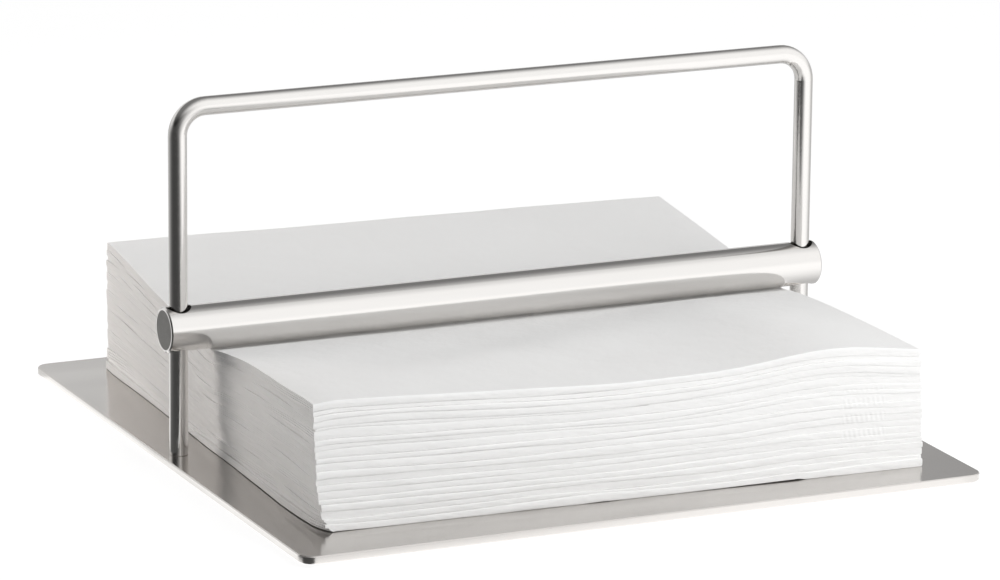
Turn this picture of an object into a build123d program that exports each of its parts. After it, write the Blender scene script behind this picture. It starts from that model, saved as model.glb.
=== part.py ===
from build123d import *
import os

os.makedirs("parts", exist_ok=True)

# A table holder for paper napkins. A steel plate carries a handle bent from one rod, and a
# heavy bar lies across the napkins and slides up and down on the two legs of the handle.
# Millimetres. The origin is the middle of the surface that the holder stands on, X runs along
# the bar, -Y faces the user and Z is up.

# The napkins: square sheets folded twice, so that each one is two double leaves thick.
napkin_size = 165.0
napkin_count = 20
napkin_gap = 0.05
leaf_gap = 0.14
fold_depth = 0.9

# Height of the pack above the plate at the front, at the back and under the bar, which
# presses it in, and how far each half of its top swells between those places.
pack_front_h = 29.2
pack_back_h = 35.2
pack_pinch_h = 27.7
pack_crown = 0.8

# Base plate: laser cut sheet.
plate_t = 2.0
plate_margin = 15.0
plate_corner_r = 4.0
plate_edge_ease = 0.25

# Handle: one rod bent twice, with a tapped hole up the foot of each leg.
rod_d = 5.0
bend_inner_r = 5.0
handle_h = 95.5
leg_gap = 6.0
leg_edge = 5.0
foot_ease = 0.15
tap_spare = 1.5
thread_gap = 0.02

# Weight bar: solid round bar with a loose cross hole for each leg.
bar_d = 12.0
bar_hole_gap = 0.9
bar_end_wall = 0.6
bar_chamfer = 0.35
bar_rest_gap = 0.3

# Countersunk screws, up through the plate into the legs.
screw_d = 3.0
screw_l = 8.0
screw_head_d = 5.5
screw_head_land = 0.2
screw_clear = 0.15
socket_flats = 2.0
socket_depth = 1.0

# Thin round pads under the plate.
pad_d = 10.0
pad_t = 1.0
pad_ease = 0.25
pad_inset = 18.0

# Worked out from the sizes above.
half_napkin = napkin_size / 2
leg_x = half_napkin + leg_gap + rod_d / 2
plate_x = 2 * (leg_x + leg_edge)
plate_y = napkin_size + 2 * plate_margin
plate_top = pad_t + plate_t
bend_r = bend_inner_r + rod_d / 2
handle_axis_z = plate_top + handle_h - rod_d / 2
bar_hole_d = rod_d + 2 * bar_hole_gap
bar_l = 2 * (leg_x + bar_hole_d / 2 + bar_end_wall)
bar_z = plate_top + pack_pinch_h + bar_rest_gap + bar_d / 2
bar_travel = handle_axis_z - bend_r - (bar_z + bar_d / 2)


def save(node, shape):
    shape.label = node
    export_step(shape, f"parts/{node}.step")


def screw(side_gap):
    """One countersunk screw standing on its head, grown sideways by a gap to cut its own hole."""
    shank_r = screw_d / 2 + side_gap
    head_r = screw_head_d / 2 + side_gap
    cone_top = screw_head_land + head_r - shank_r
    with BuildPart() as turned:
        with BuildSketch(Plane.XZ):
            with BuildLine():
                Polyline(
                    (0, 0),
                    (head_r, 0),
                    (head_r, screw_head_land),
                    (shank_r, cone_top),
                    (shank_r, screw_l),
                    (0, screw_l),
                    close=True,
                )
            make_face()
        revolve(axis=Axis.Z)
    return turned.part


def base_plate():
    """Sheet with rounded corners, eased edges and a countersunk hole under each leg."""
    with BuildPart() as plate:
        with BuildSketch(Plane.XY.offset(pad_t)):
            RectangleRounded(plate_x, plate_y, plate_corner_r)
        extrude(amount=plate_t)
        faces = plate.faces().sort_by(Axis.Z)
        chamfer(faces[0].edges() + faces[-1].edges(), plate_edge_ease)
        for x in (-leg_x, leg_x):
            add(Pos(x, 0, pad_t) * screw(screw_clear), mode=Mode.SUBTRACT)
    return plate.part


def handle():
    """Rod swept up one leg, over the top and down the other, then tapped from below."""
    corners = [
        (-leg_x, 0, plate_top),
        (-leg_x, 0, handle_axis_z),
        (leg_x, 0, handle_axis_z),
        (leg_x, 0, plate_top),
    ]
    with BuildPart() as rod:
        with BuildLine():
            FilletPolyline(*corners, radius=bend_r)
        with BuildSketch(Plane.XY.offset(plate_top).move(Location((-leg_x, 0, 0)))):
            Circle(rod_d / 2)
        sweep()
        feet = rod.faces().sort_by(Axis.Z)[:2]
        chamfer(feet.edges(), foot_ease)
        with BuildSketch(Plane.XY.offset(plate_top)):
            with Locations((-leg_x, 0), (leg_x, 0)):
                Circle(screw_d / 2 + thread_gap)
        extrude(amount=screw_l - plate_t + tap_spare, mode=Mode.SUBTRACT)
    return rod.part


def weight_bar():
    """Round bar with eased ends and two cross holes, wider than the legs that pass through."""
    with BuildPart() as bar:
        with Locations((0, 0, bar_z)):
            Cylinder(bar_d / 2, bar_l, rotation=(0, 90, 0))
        chamfer(bar.edges().filter_by(GeomType.CIRCLE), bar_chamfer)
        with Locations((-leg_x, 0, bar_z), (leg_x, 0, bar_z)):
            Cylinder(bar_hole_d / 2, 2 * bar_d, mode=Mode.SUBTRACT)
    return bar.part


def handle_screws():
    """The two screws, each with a hexagon socket in its head."""
    with BuildPart() as socketed:
        add(screw(0))
        with BuildSketch():
            RegularPolygon(socket_flats / 2, 6, major_radius=False)
        extrude(amount=socket_depth, mode=Mode.SUBTRACT)
    placed = [Pos(x, 0, pad_t) * socketed.part for x in (-leg_x, leg_x)]
    return Compound(children=placed)


def foot_pad(side_x, side_y):
    """Flat round pad with an eased rim, held to the underside of the plate."""
    x = side_x * (plate_x / 2 - pad_inset)
    y = side_y * (plate_y / 2 - pad_inset)
    with BuildPart() as pad:
        with Locations((x, y, 0)):
            Cylinder(pad_d / 2, pad_t, align=(Align.CENTER, Align.CENTER, Align.MIN))
        chamfer(pad.edges().sort_by(Axis.Z)[0], pad_ease)
    return pad.part


def pack_curve(share, shift, y_front):
    """Line across the pack, from y_front to its back, at a share of its height. Gives its ends."""

    def level(y):
        end_h = pack_front_h if y < 0 else pack_back_h
        run = abs(y) / half_napkin
        height = pack_pinch_h + run * (end_h - pack_pinch_h) + pack_crown * 4 * run * (1 - run)
        return (y, plate_top + share * height + shift)

    front = ThreePointArc(level(y_front), level(y_front / 2), level(0))
    back = ThreePointArc(level(0), level(half_napkin / 2), level(half_napkin))
    return front @ 0, back @ 1


def napkin(number):
    """One folded napkin: two leaves joined by a round fold at the front and open at the back."""
    low = (number - 1) / napkin_count
    high = number / napkin_count
    middle = (low + high) / 2
    fold_r = (high - low) * pack_front_h / 2
    with BuildPart() as folded:
        with BuildSketch(Plane.YZ.offset(-half_napkin)):
            with BuildLine():
                if number == 1:
                    under = Line((fold_r - half_napkin, plate_top), (half_napkin, plate_top))
                    under_front, under_back = under @ 0, under @ 1
                else:
                    under_front, under_back = pack_curve(low, 0, fold_r - half_napkin)
                over_front, over_back = pack_curve(high, -napkin_gap, fold_r - half_napkin)
                slit_under = pack_curve(middle, -leaf_gap / 2, fold_depth - half_napkin)
                slit_over = pack_curve(middle, leaf_gap / 2, fold_depth - half_napkin)
                fold_z = (under_front.Y + over_front.Y) / 2
                ThreePointArc(under_front, (-half_napkin, fold_z), over_front)
                Line(under_back, slit_under[1])
                Line(slit_under[0], slit_over[0])
                Line(slit_over[1], over_back)
            make_face()
        extrude(amount=napkin_size)
    return folded.part


save("base_plate", base_plate())
save("handle", handle())
save("weight_bar", weight_bar())
save("handle_screws", handle_screws())
for side_y, end in ((-1, "front"), (1, "back")):
    for side_x, side in ((-1, "left"), (1, "right")):
        save(f"pad_{end}_{side}", foot_pad(side_x, side_y))
for number in range(1, napkin_count + 1):
    save(f"napkin_{number:02d}", napkin(number))

print(f"plate {plate_x:g} x {plate_y:g}, leg spacing {2 * leg_x:g}, bar length {bar_l:g}")
print(f"bar axis at {bar_z:g}, handle axis at {handle_axis_z:g}, bar travel {bar_travel:g}")
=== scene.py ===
import math

import bpy
import numpy as np
from mathutils import Matrix, Vector


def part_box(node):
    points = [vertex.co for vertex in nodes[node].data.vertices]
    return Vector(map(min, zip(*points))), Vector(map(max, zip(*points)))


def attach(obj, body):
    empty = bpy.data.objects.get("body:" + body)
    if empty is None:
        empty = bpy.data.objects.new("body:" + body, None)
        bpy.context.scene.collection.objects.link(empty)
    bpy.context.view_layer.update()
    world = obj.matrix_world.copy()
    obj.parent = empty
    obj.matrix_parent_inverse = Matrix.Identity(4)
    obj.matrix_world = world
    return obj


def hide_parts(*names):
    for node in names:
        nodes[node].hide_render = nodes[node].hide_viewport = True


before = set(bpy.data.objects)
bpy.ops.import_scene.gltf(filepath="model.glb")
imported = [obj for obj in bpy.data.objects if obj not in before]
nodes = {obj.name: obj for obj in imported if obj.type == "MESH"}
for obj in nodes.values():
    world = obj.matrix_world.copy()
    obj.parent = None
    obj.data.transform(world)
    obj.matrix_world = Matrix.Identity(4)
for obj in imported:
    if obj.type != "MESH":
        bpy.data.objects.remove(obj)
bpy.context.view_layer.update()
mm = 0.001


# Base plate. A 2 mm sheet of stainless steel, cut to a square with small round corners and
# eased edges. It is finished with a fine grain along its width, so it mirrors the napkins
# as a soft streaked picture, while the cut edge stays bright.
plate_colour = (0.68, 0.656, 0.632)
plate_grain = (0.35, 26.0, 26.0)
plate_patches = (0.5, 3.0, 3.0)
plate_blur = (0.15, 0.22)
edge_blur = 0.12
grain_stretch = 0.6
steel_relief = 0.02 * mm


def shader(name):
    """A new node material with nothing but its Principled shader and output."""
    made = bpy.data.materials.new(name)
    made.use_nodes = True
    tree = made.node_tree
    tree.nodes.clear()
    principled = tree.nodes.new("ShaderNodeBsdfPrincipled")
    output = tree.nodes.new("ShaderNodeOutputMaterial")
    tree.links.new(principled.outputs["BSDF"], output.inputs["Surface"])
    return made, tree, principled


def feed(tree, socket, value):
    """Sets an input to a value, or links it to the output that gives it."""
    if isinstance(value, bpy.types.NodeSocket):
        tree.links.new(value, socket)
    else:
        socket.default_value = value


def add(tree, kind, inputs=(), **settings):
    """One node with its settings; each input is a value or the output that feeds it."""
    node = tree.nodes.new(kind)
    for key, value in settings.items():
        setattr(node, key, value)
    for key, value in dict(inputs).items():
        feed(tree, node.inputs[key], value)
    return node


def reckon(tree, operation, *values):
    """The result of one sum on numbers or outputs."""
    return add(tree, "ShaderNodeMath", dict(enumerate(values)), operation=operation).outputs[0]


def grain(tree, scale, stretch, detail=6.0):
    """Noise drawn out along the directions in which stretch is small."""
    place = add(tree, "ShaderNodeTexCoord")
    spread = add(tree, "ShaderNodeMapping", {"Vector": place.outputs["Object"], "Scale": stretch})
    noise = {"Vector": spread.outputs["Vector"], "Scale": scale, "Detail": detail, "Roughness": 0.62}
    return add(tree, "ShaderNodeTexNoise", noise).outputs["Fac"]


def spread_over(tree, value, low, high, start=0.3, end=0.7):
    """Carries the values between start and end, such as a noise's, onto a range of their own."""
    limits = {"Value": value, "From Min": start, "From Max": end, "To Min": low, "To Max": high}
    return add(tree, "ShaderNodeMapRange", limits).outputs["Result"]


def tint(tree, value, dark, light):
    """A colour between dark and light, where each is a colour or the output that gives it."""
    mix = add(tree, "ShaderNodeMix", {0: value}, data_type="RGBA")
    for number, colour in ((6, dark), (7, light)):
        given = isinstance(colour, bpy.types.NodeSocket)
        feed(tree, mix.inputs[number], colour if given else (*colour, 1))
    return mix.outputs[2]


def shaded(colour, share):
    """The colour with that share of its light."""
    return tuple(share * part for part in colour)


def raised(tree, height, strength, depth, below=None):
    """A relief from a height, laid over the relief below it. Gives the surface's normal."""
    inputs = {"Height": height, "Strength": strength, "Distance": depth}
    if below is not None:
        inputs["Normal"] = below
    return add(tree, "ShaderNodeBump", inputs).outputs["Normal"]


def facing(tree, axis):
    """1 where the surface faces along the axis, either way, and 0 where it lies square to it."""
    place = add(tree, "ShaderNodeTexCoord")
    parts = add(tree, "ShaderNodeSeparateXYZ", {"Vector": place.outputs["Normal"]})
    return reckon(tree, "ABSOLUTE", parts.outputs[axis])


def plate_steel():
    made, tree, steel = shader("plate_steel")
    fine = grain(tree, 60.0, plate_grain)
    broad = grain(tree, 9.0, plate_patches, 2.0)
    colour = tint(tree, fine, shaded(plate_colour, 0.93), plate_colour)
    feed(tree, steel.inputs["Base Color"], colour)
    edge = spread_over(tree, facing(tree, "Z"), edge_blur, 0.0, 0.2, 0.6)
    blur = spread_over(tree, broad, *plate_blur)
    feed(tree, steel.inputs["Roughness"], reckon(tree, "ADD", blur, edge))
    feed(tree, steel.inputs["Normal"], raised(tree, fine, 0.05, steel_relief))
    across_grain = add(tree, "ShaderNodeTangent", direction_type="RADIAL", axis="X")
    feed(tree, steel.inputs["Tangent"], across_grain.outputs["Tangent"])
    steel.inputs["Anisotropic"].default_value = grain_stretch
    steel.inputs["Metallic"].default_value = 1.0
    return made


def finish_with(names, material):
    """Gives CAD pieces their finish."""
    for name in names:
        slots = nodes[name].data.materials
        slots.clear()
        slots.append(material)


finish_with(["base_plate"], plate_steel())
plate_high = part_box("base_plate")[1]


# Foot pads. Four round pads of grey rubber, stuck under the plate near its corners. They keep
# it 1 mm off the table and don't show from above.
pad_names = [f"pad_{end}_{side}" for end in ("front", "back") for side in ("left", "right")]
pad_colour = (0.32, 0.32, 0.33)


def pad_rubber():
    made, tree, rubber = shader("pad_rubber")
    speckle = grain(tree, 900.0, (1, 1, 1), 3.0)
    dusty = shaded(pad_colour, 1.25)
    feed(tree, rubber.inputs["Base Color"], tint(tree, speckle, pad_colour, dusty))
    feed(tree, rubber.inputs["Roughness"], spread_over(tree, speckle, 0.6, 0.85))
    feed(tree, rubber.inputs["Normal"], raised(tree, speckle, 0.2, 0.05 * mm))
    return made


finish_with(pad_names, pad_rubber())


# Napkins. Twenty squares of soft white tissue, 33 cm wide. Each is folded in half with its
# fold to the right and again with its fold to the front, so it lies four leaves thick. The
# pack is squeezed by the bar in the middle and swells towards the front and the back.
leaf_size = 166 * mm
half_leaf = leaf_size / 2
napkin_names = sorted(name for name in nodes if name.startswith("napkin_"))
napkin_count = len(napkin_names)
paper_dark = (0.872, 0.868, 0.860)
paper_light = (0.905, 0.902, 0.896)
chance = np.random.RandomState(7)

# The pack's place on the plate, how far out its sides lie, and its heights above the plate.
pack_turn = math.radians(-1.7)
pack_middle = Vector((2.4 * mm, 1.0 * mm))
pack_side = 85 * mm
bar_low, bar_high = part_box("weight_bar")
bar_radius = (bar_high.z - bar_low.z) / 2
bar_axis = (bar_high.z + bar_low.z) / 2
bar_clear = 0.25 * mm
pinch_height = bar_low.z - bar_clear - plate_high.z
front_height = 30.95 * mm
back_height = 35.3 * mm

# The pack's top: higher at its front left, puffed up at its front right, with drooping left
# corners, two long creases and shallow wrinkles.
left_lift = 3.7 * mm
right_puff = 3.4 * mm
puff_place = 58 * mm
puff_reach = (22.5 * mm, 20 * mm)
corner_drop = 1.2 * mm
back_tilt = 0.5 * mm
creases = (
    (0.22 * mm, (-66 * mm, -6 * mm), (-75 * mm, -68 * mm), 3 * mm),
    (-0.16 * mm, (10 * mm, -14 * mm), (-76 * mm, -62 * mm), 5 * mm),
)
bulge_depth = 0.10 * mm
wrinkle_depth = 0.38 * mm

# The pack's underside: a gap along its left side and, in front, one that grows from its start
# to its end and a narrow notch left of that.
left_gap = 0.24 * mm
front_left_gap = 0.1 * mm
front_gap = 0.34 * mm
front_gap_start, front_gap_end = 8 * mm, 50.5 * mm
notch_depth = 0.25 * mm
notch_place = -9 * mm

# How the napkins lie: the share of the pack that each takes, from the lowest up, how uneven
# they are, and how the pack leans, spreads and is tucked in at its lower left corner.
layer_depths = (12, 7, 12, 11, 8, 11, 9, 12, 11, 10, 10, 13, 7, 8, 12, 6, 13, 7, 7, 13)
joint_wander = 0.16
random_slip = 0.1 * mm
random_turn = 0.0012
left_lean = 2.7 * mm
spread_below = 1.0 * mm
slip_first = 0.8 * mm
slip_forward = 1.2 * mm
tuck_first, tuck_fade = 2.6 * mm, 1.3

# The folds: how deep the lines between them are and how that changes from left to right, how
# close the two leaves of a pair lie, the slack that is left between two napkins at the front,
# and how ragged the open left side is.
fold_depths = (0.16, 0.36)
fold_fade = ((-pack_side, 0.0, 55 * mm, pack_side), (1.15, 0.9, 0.55, 0.33))
leaf_share = 0.75
fold_slack = 0.08
ragged_side = 0.2 * mm

# Distances from the folds, in mm, where the mesh has closer rows: at the folds and the open
# edges, where the gap in front ends, and under the bar.
close_across = (0.4, 1.2, 3, 5, 31, 33, 35, 37, 161, 163.4, 164.6, 165.4)
close_along = (0.4, 1.2, 3, 5, 72, 75, 78, 80.5, 83, 86, 88.5, 91, 163, 165)

# The embossed ribs on the folds near the front right corner: their step, the height of a row
# and the patch they cover.
rib_step = 1.4 * mm
rib_row = 4.2 * mm
ribbed = ((60 * mm, 74 * mm), (-95 * mm, -82.5 * mm), (9.5 * mm, 26.5 * mm))


def waves(count, longest, shortest):
    """A smooth random curve of height about 1, as the sum of a few sine waves."""
    lengths = chance.uniform(shortest, longest, count)
    starts = chance.uniform(0, 2 * math.pi, count)
    heights = lengths / lengths.max() / math.sqrt(count / 2)

    def curve(place):
        total = 0
        for height, length, start in zip(heights, lengths, starts):
            total = total + height * np.sin(2 * math.pi * place / length + start)
        return total

    return curve


def front_rise(x):
    """How far the front edge of the pack stands above the pinch, along its width."""
    lift = left_lift * (np.clip(-x, 0, None) / pack_side) ** 1.15
    reach = np.where(x < puff_place, *puff_reach)
    puff = right_puff * np.exp(-(((x - puff_place) / reach) ** 2))
    drop = corner_drop * np.exp(-np.clip(x + pack_side, 0, None) / (4 * mm))
    return front_height - pinch_height + lift + puff - drop


def back_rise(x):
    """The same for the back edge, which is a little lower at its right end."""
    return back_height - pinch_height - back_tilt * np.clip(x / pack_side, -1, 1)


def crease(x, y, start, end, width):
    """A soft ridge of height 1 along a line on the top, fading at its ends."""
    along = np.array(end) - np.array(start)
    length = np.hypot(*along)
    along = along / length
    run = ((x - start[0]) * along[0] + (y - start[1]) * along[1]) / length
    off = (x - start[0]) * along[1] - (y - start[1]) * along[0]
    ends = np.clip(run / 0.3, 0, 1) * np.clip((1 - run) / 0.3, 0, 1)
    return np.exp(-((off / width) ** 2)) * ends


top_wave_x, top_wave_y = waves(4, 90 * mm, 30 * mm), waves(4, 80 * mm, 25 * mm)


def pack_height(x, y):
    """Height of the pack's top above the plate. It swells quickly in front of the bar, rises
    almost straight behind it, and lies against the bar's underside between the two."""
    run = np.clip((np.abs(y) - 3 * mm) / (78 * mm), 0, 1)
    swell = np.where(y < 0, np.sin(math.pi / 2 * run) ** 0.65, run * (1.15 - 0.15 * run))
    free = pinch_height + np.where(y < 0, front_rise(x), back_rise(x)) * swell
    free = free + bulge_depth * run * (top_wave_x(x + 0.4 * y) + top_wave_y(y - 0.3 * x))
    inward = np.clip((82 * mm - np.abs(x)) / (25 * mm), 0, 1)
    wrinkled = wrinkle_depth * inward * np.sin(math.pi * run) * np.where(y < 0, 1.0, 0.25)
    free = free + wrinkled * (top_wave_x(1.3 * x + 0.7 * y) + top_wave_y(1.2 * y - 0.5 * x))
    for height, start, end, width in creases:
        free = free + height * crease(x, y, start, end, width)
    to_left = np.clip(x + 82 * mm, 0, None)
    droop = corner_drop * np.exp(-to_left / (1.5 * mm)) * np.clip(y / (60 * mm), 0, 1)
    reach = bar_radius + bar_clear
    under_bar = bar_axis - np.sqrt(np.clip(reach**2 - y**2, 0, None)) - plate_high.z
    under_bar = np.where(np.abs(y) < reach * 0.95, under_bar, 1.0)
    return np.minimum(free - droop, under_bar)


def pack_floor(x, y):
    """Height of the pack's underside above the plate."""
    front = np.exp(-((np.clip(y + 80 * mm, 0, None) / (6 * mm)) ** 2))
    left = np.exp(-np.clip(x + 84 * mm, 0, None) / (5 * mm))
    rising = np.clip((x - front_gap_start) / (40 * mm), 0, 1) ** 1.6
    lift = front_gap * rising * np.clip((front_gap_end - x) / (2 * mm), 0, 1)
    notch = notch_depth * np.exp(-(((x - notch_place) / (2.5 * mm)) ** 2))
    return left_gap * left + front * (front_left_gap * left + lift + notch)


def spaced(length, steps, near):
    """Distances from 0 to length, closer together at the places that near lists in mm."""
    even = np.linspace(0, length, steps + 1)
    inside = [place * mm for place in near if 0 < place * mm < length]
    return np.unique(np.round(np.concatenate([even, inside]), 5))


def hairpin(distances, turns):
    """Positions across a folded sheet: distance from the fold, and angle round it."""
    angles = np.linspace(90, -90, turns + 2)[1:-1]
    far = np.concatenate([distances[::-1], np.zeros(turns), distances])
    flat = np.full(len(distances), 90.0)
    return far, np.radians(np.concatenate([flat, angles, -flat]))


def squared(values, power):
    """Swells a round fold towards a square one, as when it is pressed flat."""
    return np.sign(values) * np.abs(values) ** power


def closed_mesh(name, sides):
    """A mesh from the two faces of a sheet, given as grids of points, joined round their rim."""
    rows, columns = sides[0].shape[:2]
    count = rows * columns
    points = np.concatenate([side.reshape(-1, 3) for side in sides])
    index = np.arange(count).reshape(rows, columns)
    corners = [index[:-1, :-1], index[1:, :-1], index[1:, 1:], index[:-1, 1:]]
    quads = np.stack(corners, -1).reshape(-1, 4)
    faces = [*quads.tolist(), *(quads[:, ::-1] + count).tolist()]
    rim = [*index[:, 0], *index[-1, 1:], *index[-2::-1, -1], *index[0, -2:0:-1]]
    for here, there in zip(rim, rim[1:] + rim[:1]):
        faces.append([int(here), int(here) + count, int(there) + count, int(there)])
    mesh = bpy.data.meshes.new(name)
    mesh.from_pydata(points.tolist(), [], faces)
    mesh.update()
    mesh.shade_smooth()
    mesh.set_sharp_from_angle(angle=math.radians(50))
    return mesh


def napkin_mesh(name, lower, upper, shift, turn, lean, spread, tuck, pressed, fold_depth, edges):
    """One napkin between the lower and the upper surface, both given as heights over (x, y).
    Its edges are two random curves, one along its front fold and one along its open left side.
    At the front fold the leaves swell until the napkins touch, but for a small slack."""
    across, across_angle = hairpin(spaced(leaf_size, 26, close_across), 5)
    along, along_angle = hairpin(spaced(leaf_size, 24, close_along), 11)
    far_a, far_b = np.meshgrid(across, along, indexing="ij")
    turn_a, turn_b = np.meshgrid(across_angle, along_angle, indexing="ij")
    cos_turn, sin_turn = math.cos(turn), math.sin(turn)
    front_edge, left_edge = edges
    to_left, to_back = far_a / leaf_size, far_b / leaf_size
    corner = np.exp(-((leaf_size - far_a) + far_b) / (4 * mm) - np.sin(turn_b) / (2 * tuck_fade))
    outermost = 0.25 + (1 + leaf_share) / 8

    def place(local_x, local_y):
        local_x = local_x - lean * to_left * (1 - to_back) + tuck * corner + spread * (1 - to_left)
        ragged = ragged_side * left_edge(local_y) * np.exp((far_a - leaf_size) / (8 * mm))
        local_x = local_x + ragged
        x = local_x * cos_turn - local_y * sin_turn + shift[0]
        y = local_x * sin_turn + local_y * cos_turn + shift[1]
        return x, y

    sides = []
    for side in (1, -1):
        flat_x = half_leaf - far_a
        flat_y = far_b - half_leaf
        x, y = place(flat_x, flat_y)
        thick = upper(x, y) - lower(x, y)
        first = (1 + side * leaf_share) * thick / 8
        in_pair = first * squared(np.sin(turn_a), 0.6)
        fade = np.interp(x, *fold_fade) * (1 - pressed * np.exp((far_a - leaf_size) / (7 * mm)))
        uneven = np.clip(1 + front_edge(2.7 * x + 11 * mm), 0, 2.5)
        slack = fold_slack * fold_depth**2 * fade * uneven
        closed = (0.5 - slack) / outermost - 1
        second = (thick / 4 + in_pair) * (1 + closed * np.exp(-far_b / (3 * mm)))
        flat_x = flat_x - thick / 8 + first * np.cos(turn_a)
        depth = fold_depth * fade * np.clip(1 + 0.5 * front_edge(1.9 * x - 7 * mm), 0.3, 1.8)
        wander = 0.08 * mm * front_edge(x) * np.exp(-far_b / (12 * mm))
        flat_y = flat_y + depth * (thick / 2 - second * np.cos(turn_b)) + wander
        x, y = place(flat_x, flat_y)
        z = (upper(x, y) + lower(x, y)) / 2 + second * squared(np.sin(turn_b), 0.9)
        sides.append(np.stack([x, y, plate_high.z + z], -1))
    return closed_mesh(name, sides)


def eased(tree, value, start, end, low, high):
    """A smooth step from low to high between start and end."""
    limits = {"Value": value, "From Min": start, "From Max": end, "To Min": low, "To Max": high}
    return add(tree, "ShaderNodeMapRange", limits, interpolation_type="SMOOTHSTEP").outputs["Result"]


def embossed_ribs(tree, place):
    """The height of the ribs: slanted lines in rows, fading at the ends of their patch."""
    parts = add(tree, "ShaderNodeSeparateXYZ", {"Vector": place})
    slanted = reckon(tree, "MULTIPLY_ADD", parts.outputs["Z"], 0.2, parts.outputs["X"])
    ribs = reckon(tree, "SINE", reckon(tree, "MULTIPLY", slanted, 2 * math.pi / rib_step))
    rows = reckon(tree, "SINE", reckon(tree, "MULTIPLY", parts.outputs["Z"], 2 * math.pi / rib_row))
    ribs = reckon(tree, "MULTIPLY", ribs, eased(tree, rows, -0.6, 0.2, 0.0, 1.0))
    for axis, (start, end) in zip("XYZ", ribbed):
        off_middle = reckon(tree, "SUBTRACT", parts.outputs[axis], (start + end) / 2)
        off_middle = reckon(tree, "ABSOLUTE", off_middle)
        half = (end - start) / 2
        inside = eased(tree, off_middle, half - 1.5 * mm, half, 1.0, 0.0)
        ribs = reckon(tree, "MULTIPLY", ribs, inside)
    return ribs


def paper():
    """White tissue: matt, slightly uneven in tone, with a fine crepe, soft crumples, a little
    sheen, fine leaf edges on the open left side and a patch of embossed ribs on the folds."""
    made, tree, tissue = shader("napkin_paper")
    crepe = grain(tree, 1400.0, (1, 1, 1), 4.0)
    cloudy = grain(tree, 30.0, (1, 1, 1), 3.0)
    feed(tree, tissue.inputs["Base Color"], tint(tree, cloudy, paper_dark, paper_light))
    feed(tree, tissue.inputs["Roughness"], spread_over(tree, crepe, 0.85, 1.0))
    tissue.inputs["Specular IOR Level"].default_value = 0.2
    tissue.inputs["Sheen Weight"].default_value = 0.15
    tissue.inputs["Sheen Roughness"].default_value = 0.6
    relief = raised(tree, crepe, 0.25, 0.08 * mm)
    crumples = grain(tree, 260.0, (0.45, 0.45, 1.6), 3.0)
    relief = raised(tree, crumples, 0.5, 0.8 * mm, relief)
    place = add(tree, "ShaderNodeTexCoord")
    normal = add(tree, "ShaderNodeSeparateXYZ", {"Vector": place.outputs["Normal"]})
    open_side = eased(tree, normal.outputs["X"], -0.8, -0.4, 1.0, 0.0)
    leaves = reckon(tree, "MULTIPLY", grain(tree, 260.0, (1, 0.25, 4), 3.0), open_side)
    relief = raised(tree, leaves, 0.5, 1.0 * mm, relief)
    ribs = embossed_ribs(tree, place.outputs["Object"])
    feed(tree, tissue.inputs["Normal"], raised(tree, ribs, 0.3, 0.08 * mm, relief))
    return made


napkin_paper = paper()
share = np.concatenate([[0], np.cumsum(layer_depths)]) / sum(layer_depths)
ripples = [(waves(5, 130 * mm, 35 * mm), waves(4, 160 * mm, 50 * mm)) for _ in share]


def surface(number):
    """The joint above the napkin of that number, as a height over (x, y)."""
    along_x, along_y = ripples[number]
    inner = 0.0 if number in (0, napkin_count) else 1.0

    def height(x, y):
        wander = inner * joint_wander / napkin_count * (along_x(x) + along_y(y))
        low = pack_floor(x, y)
        return low + (pack_height(x, y) - low) * (share[number] + wander)

    return height


for number, name in enumerate(napkin_names, 1):
    low, high = surface(number - 1), surface(number)
    slip = chance.normal(0, random_slip, 2)
    slip[1] -= slip_forward * math.exp(-share[number] / 0.1)
    if number == 1:
        slip[0] -= slip_first
    shift = (pack_middle.x + slip[0], pack_middle.y + slip[1])
    lean = left_lean * math.sqrt(share[number])
    tuck = tuck_first * math.exp(-(number - 1) / tuck_fade)
    pressed = math.exp(-(((number - 1) / 3) ** 2))
    depth = chance.uniform(*fold_depths)
    turn = pack_turn + chance.normal(0, random_turn)
    spread = spread_below * (1 - share[number] ** 3) + slip_first * (number == 1)
    edges = waves(6, 120 * mm, 14 * mm), waves(6, 70 * mm, 16 * mm)
    piece = name + "_folded"
    mesh = napkin_mesh(piece, low, high, shift, turn, lean, spread, tuck, pressed, depth, edges)
    mesh.materials.append(napkin_paper)
    folded = bpy.data.objects.new(piece, mesh)
    bpy.context.scene.collection.objects.link(folded)
    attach(folded, "holder")
    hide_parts(name)


# Handle. One rod of 5 mm stainless steel, bent twice and polished along its length. Its two
# feet stand on the plate, each held by a screw from below.
rod_colour = (0.80, 0.782, 0.762)
rod_grain = (8, 8, 8)
rod_blur = (0.13, 0.21)
polish_scale = 70.0
polish_relief = 0.04


def polished_steel(name, stretch, blur, colour):
    """Round stock, polished or turned, with a faint grain and an even soft gloss."""
    made, tree, steel = shader(name)
    fine = grain(tree, polish_scale, stretch)
    feed(tree, steel.inputs["Base Color"], tint(tree, fine, shaded(colour, 0.94), colour))
    feed(tree, steel.inputs["Roughness"], spread_over(tree, fine, *blur))
    feed(tree, steel.inputs["Normal"], raised(tree, fine, polish_relief, steel_relief))
    steel.inputs["Metallic"].default_value = 1.0
    return made


finish_with(["handle"], polished_steel("handle_steel", rod_grain, rod_blur, rod_colour))


# Handle screws. Two countersunk machine screws of plain steel, up through the plate into the
# tapped feet of the handle.
screw_colour = (0.52, 0.51, 0.5)
screw_grain = (20, 20, 20)
screw_blur = (0.25, 0.35)
finish_with(["handle_screws"], polished_steel("screw_steel", screw_grain, screw_blur, screw_colour))


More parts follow.
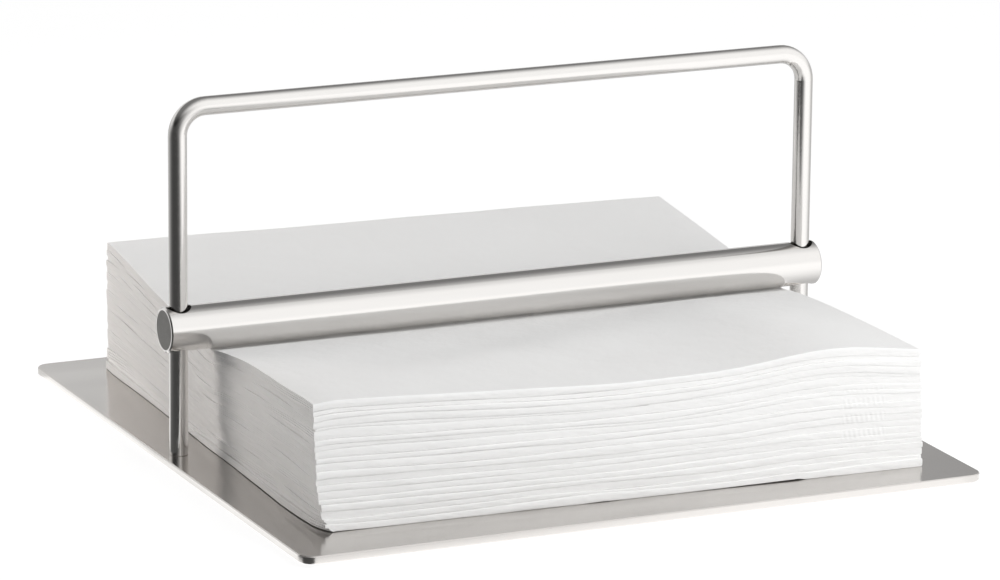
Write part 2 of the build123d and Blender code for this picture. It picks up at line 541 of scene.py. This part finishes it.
# Weight bar. A solid round bar of stainless steel, turned smooth, with a small bevel at each
# end and a loose cross hole for each leg. It slides on the legs and lies on the napkins. Its
# faced ends are rougher and carry a painted dark reflection inside a polished rim.
bar_colour = (0.80, 0.782, 0.762)
bar_grain = (0.5, 10, 10)
bar_blur = (0.12, 0.2)
# The dark colour painted on the faced ends: a painted dark reflection, not the steel's own colour.
bar_end_painted_reflection = (0.17, 0.165, 0.155)
bar_end_blur = 0.25
bar_rim = 0.7 * mm


def bar_steel():
    made, tree, steel = shader("bar_steel")
    fine = grain(tree, polish_scale, bar_grain)
    side = tint(tree, fine, shaded(bar_colour, 0.94), bar_colour)
    place = add(tree, "ShaderNodeTexCoord").outputs["Object"]
    centring = {"Vector": place, "Location": (0, 0, -bar_axis), "Scale": (0, 1, 1)}
    centred = add(tree, "ShaderNodeMapping", centring).outputs["Vector"]
    from_axis = add(tree, "ShaderNodeVectorMath", {0: centred}, operation="LENGTH")
    rim_start = bar_radius - bar_rim
    inside = spread_over(tree, from_axis.outputs["Value"], 1.0, 0.0, rim_start - 0.1 * mm, rim_start)
    end = spread_over(tree, facing(tree, "X"), 0.0, 1.0, 0.9, 0.95)
    faced = reckon(tree, "MULTIPLY", inside, end)
    # Paints the faced end dark inside the rim: a painted dark reflection.
    feed(tree, steel.inputs["Base Color"], tint(tree, faced, side, bar_end_painted_reflection))
    rougher = reckon(tree, "MULTIPLY", faced, bar_end_blur)
    blur = spread_over(tree, fine, *bar_blur)
    feed(tree, steel.inputs["Roughness"], reckon(tree, "ADD", blur, rougher))
    feed(tree, steel.inputs["Normal"], raised(tree, fine, polish_relief, steel_relief))
    steel.inputs["Metallic"].default_value = 1.0
    return made


finish_with(["weight_bar"], bar_steel())


# Table. A wide white table that looks plain white from the camera and keeps a soft shadow. The
# steel mirrors it as the room lights it, and brighter close to the plate's sides and behind
# its left. What it throws back on the paper is brighter at the front right.
table_size = 3.0
table_light = (0.33, 0.67)
table_white = 0.82
table_shadow = 0.27
ring_light = 1.5
ring_edge = (9 * mm, 10.5 * mm)
ring_corner = (-3.5 * mm, -2 * mm)
pool_light = 0.95
pool_edge = (-8 * mm, 22 * mm)
pool_start, pool_end = (-5 * mm, 0.0), (60 * mm, 120 * mm)

# The room round the holder: where its large light, its white wall and its dark corner are, in
# degrees from the front towards the right, how bright it is up high, on the wall and low down
# at the large light, and how much of that the corner takes away.
light_side, wall_side, dark_side = 35, -155, -61.5
upper_light = (0.22, 1.17)
wall_light = (0.62, 0.86)
low_light = 1.3
corner_dark = 0.9


def direction(degrees):
    """A level direction, counted from the front towards the right."""
    angle = math.radians(degrees)
    return (math.sin(angle), -math.cos(angle), 0.0)


def towards(tree, vector, degrees):
    """How far a vector points in a level direction, from -1 to 1."""
    dot = add(tree, "ShaderNodeVectorMath", {0: vector, 1: direction(degrees)}, operation="DOT_PRODUCT")
    return dot.outputs["Value"]


def room_light(tree, vector):
    """How bright the room is along a vector: a large soft light at the front right, a white
    wall behind that ends low down, higher at its left, and a dark corner at the front left."""
    key = towards(tree, vector, light_side)
    height = add(tree, "ShaderNodeSeparateXYZ", {"Vector": vector}).outputs["Z"]
    high = eased(tree, key, -0.3, 0.65, *upper_light)
    low = eased(tree, key, 0.5, 1.0, eased(tree, height, 0.02, 0.18, *wall_light), low_light)
    behind = reckon(tree, "MAXIMUM", towards(tree, vector, wall_side), 0.5)
    wall_top = reckon(tree, "ADD", reckon(tree, "SUBTRACT", height, behind), 0.63)
    above = eased(tree, wall_top, 0.19, 0.46, 0.0, 1.0)
    bright = add(tree, "ShaderNodeMix", {0: above, 2: low, 3: high}).outputs[0]
    corner = eased(tree, towards(tree, vector, dark_side), 0.15, 1.0, 0.0, corner_dark)
    dark = reckon(tree, "MULTIPLY", corner, eased(tree, height, 0.9, 0.4, 0.0, 1.0))
    return reckon(tree, "MULTIPLY", bright, reckon(tree, "SUBTRACT", 1.0, dark))


def near_plate(tree, place):
    """The table's light beside the plate: a ring along its sides, which leaves out its
    corners, and a pool behind its left."""
    sides = add(tree, "ShaderNodeSeparateXYZ", {"Vector": place})
    past_x = reckon(tree, "SUBTRACT", reckon(tree, "ABSOLUTE", sides.outputs["X"]), plate_high.x)
    past_y = reckon(tree, "SUBTRACT", reckon(tree, "ABSOLUTE", sides.outputs["Y"]), plate_high.y)
    past_edge = reckon(tree, "MAXIMUM", reckon(tree, "MULTIPLY", past_x, 2.0), past_y)
    ring = eased(tree, past_edge, *ring_edge, ring_light, 0.0)
    off_corner = eased(tree, reckon(tree, "MINIMUM", past_x, past_y), *ring_corner, 1.0, 0.0)
    ring = reckon(tree, "MULTIPLY", ring, off_corner)
    past_left = reckon(tree, "SUBTRACT", -plate_high.x, sides.outputs["X"])
    pool = eased(tree, reckon(tree, "SUBTRACT", sides.outputs["Y"], past_left), *pool_edge, 0.0, 1.0)
    pool = reckon(tree, "MULTIPLY", pool, eased(tree, past_left, *pool_start, 0.0, 1.0))
    pool = reckon(tree, "MULTIPLY", pool, eased(tree, past_left, *pool_end, pool_light, 0.0))
    return reckon(tree, "MAXIMUM", ring, pool)


def table_surface():
    """White to the camera. To the steel it is the room's light and the light beside the plate.
    To the paper it is a soft glow."""
    made = bpy.data.materials.new("table_surface")
    made.use_nodes = True
    tree = made.node_tree
    tree.nodes.clear()
    place = add(tree, "ShaderNodeTexCoord").outputs["Object"]
    level = add(tree, "ShaderNodeVectorMath", {0: place}, operation="NORMALIZE").outputs["Vector"]
    mirrored = reckon(tree, "MAXIMUM", room_light(tree, level), near_plate(tree, place))
    spilled = eased(tree, towards(tree, level, light_side), -0.5, 0.6, *table_light)
    rays = add(tree, "ShaderNodeLightPath")
    glossy = rays.outputs["Is Glossy Ray"]
    seen = add(tree, "ShaderNodeMix", {0: glossy, 2: spilled, 3: mirrored}).outputs[0]
    glow = add(tree, "ShaderNodeEmission", {"Strength": seen}).outputs[0]
    white = add(tree, "ShaderNodeEmission", {"Strength": table_white}).outputs[0]
    shadow_grey = (table_shadow, table_shadow, table_shadow, 1)
    matt = add(tree, "ShaderNodeBsdfDiffuse", {"Color": shadow_grey}).outputs[0]
    shown = add(tree, "ShaderNodeAddShader", {0: white, 1: matt}).outputs[0]
    to_camera = rays.outputs["Is Camera Ray"]
    mix = add(tree, "ShaderNodeMixShader", {0: to_camera, 1: glow, 2: shown}).outputs[0]
    add(tree, "ShaderNodeOutputMaterial", {"Surface": mix})
    return made


table_mesh = bpy.data.meshes.new("table_top")
half = table_size / 2
table_corners = [(-half, -half, 0), (half, -half, 0), (half, half, 0), (-half, half, 0)]
table_mesh.from_pydata(table_corners, [], [(0, 1, 2, 3)])
table_mesh.materials.append(table_surface())
table_top = bpy.data.objects.new("table_top", table_mesh)
bpy.context.scene.collection.objects.link(table_top)


# Studio. White to the camera. Lamps above, at the front right and low in front light the
# paper, and one behind the left puts the leg's shadow on the side of the pack.
warm_white = (1.0, 0.94, 0.9)
world = bpy.data.worlds.new("studio")
bpy.context.scene.world = world
world.use_nodes = True
tree = world.node_tree
tree.nodes.clear()
sky = add(tree, "ShaderNodeTexCoord").outputs["Generated"]
white = (1, 1, 1, 1)
lit = {"Color": white, "Strength": room_light(tree, sky)}
surround = add(tree, "ShaderNodeBackground", lit).outputs[0]
plain = add(tree, "ShaderNodeBackground", {"Color": white, "Strength": 1.0}).outputs[0]
to_camera = add(tree, "ShaderNodeLightPath").outputs["Is Camera Ray"]
mix = add(tree, "ShaderNodeMixShader", {0: to_camera, 1: surround, 2: plain}).outputs[0]
add(tree, "ShaderNodeOutputWorld", {"Surface": mix})


def soft_box(name, place, aim, size, power, colour=(1, 1, 1)):
    """A rectangular lamp that lights the object and isn't mirrored in the steel."""
    data = bpy.data.lights.new(name, "AREA")
    data.shape = "RECTANGLE"
    data.size, data.size_y = size
    data.energy = power
    data.color = colour
    lamp = bpy.data.objects.new(name, data)
    bpy.context.scene.collection.objects.link(lamp)
    lamp.location = place
    lamp.rotation_mode = "QUATERNION"
    lamp.rotation_quaternion = (Vector(aim) - Vector(place)).to_track_quat("-Z", "Y")
    lamp.visible_glossy = False
    return lamp


soft_box("overhead", place=(0.15, -0.2, 0.8), aim=(0, 0, 0.03), size=(0.6, 0.6), power=1.28)
soft_box(
    "front_right",
    place=(0.2, -0.28, 0.15),
    aim=(0, -0.04, 0.03),
    size=(0.15, 0.15),
    power=0.235,
)
soft_box("front_low", place=(0.1, -0.5, 0.035), aim=(0, -0.08, 0.02), size=(0.4, 0.05), power=0.25)
soft_box(
    "back_left",
    place=(-0.3, 0.29, 0.07),
    aim=(-0.08, 0.02, 0.02),
    size=(0.2, 0.1),
    power=0.83,
    colour=warm_white,
)


# Camera. It stands at the front left, a little above the pack, far away with a long lens. Its
# angles and its place are fitted to the straight edges of the plate, the handle and the bar.
scene = bpy.context.scene
picture_width = 1000
focal_pixels = 5772.44
azimuth, elevation, roll = (math.radians(angle) for angle in (-24.53, 14.65, 0.56))
aim_height = 51 * mm
aside, above, away = 0.90 * mm, -12.19 * mm, 1538.48 * mm
back = Vector((
    math.sin(azimuth) * math.cos(elevation),
    -math.cos(azimuth) * math.cos(elevation),
    math.sin(elevation),
))
level_right = Vector((0, 0, 1)).cross(back).normalized()
level_up = back.cross(level_right)
right = level_right * math.cos(roll) + level_up * math.sin(roll)
up = level_up * math.cos(roll) - level_right * math.sin(roll)
camera_data = bpy.data.cameras.new("camera")
camera_data.sensor_fit = "HORIZONTAL"
camera_data.sensor_width = 36.0
camera_data.lens = focal_pixels / picture_width * camera_data.sensor_width
camera_data.clip_start, camera_data.clip_end = 0.05, 20.0
camera = bpy.data.objects.new("camera", camera_data)
scene.collection.objects.link(camera)
stand = Vector((0, 0, aim_height)) + back * away + right * aside + up * above
camera.matrix_world = Matrix.Translation(stand) @ Matrix((right, up, back)).transposed().to_4x4()
scene.camera = camera
scene.view_settings.view_transform = "Standard"
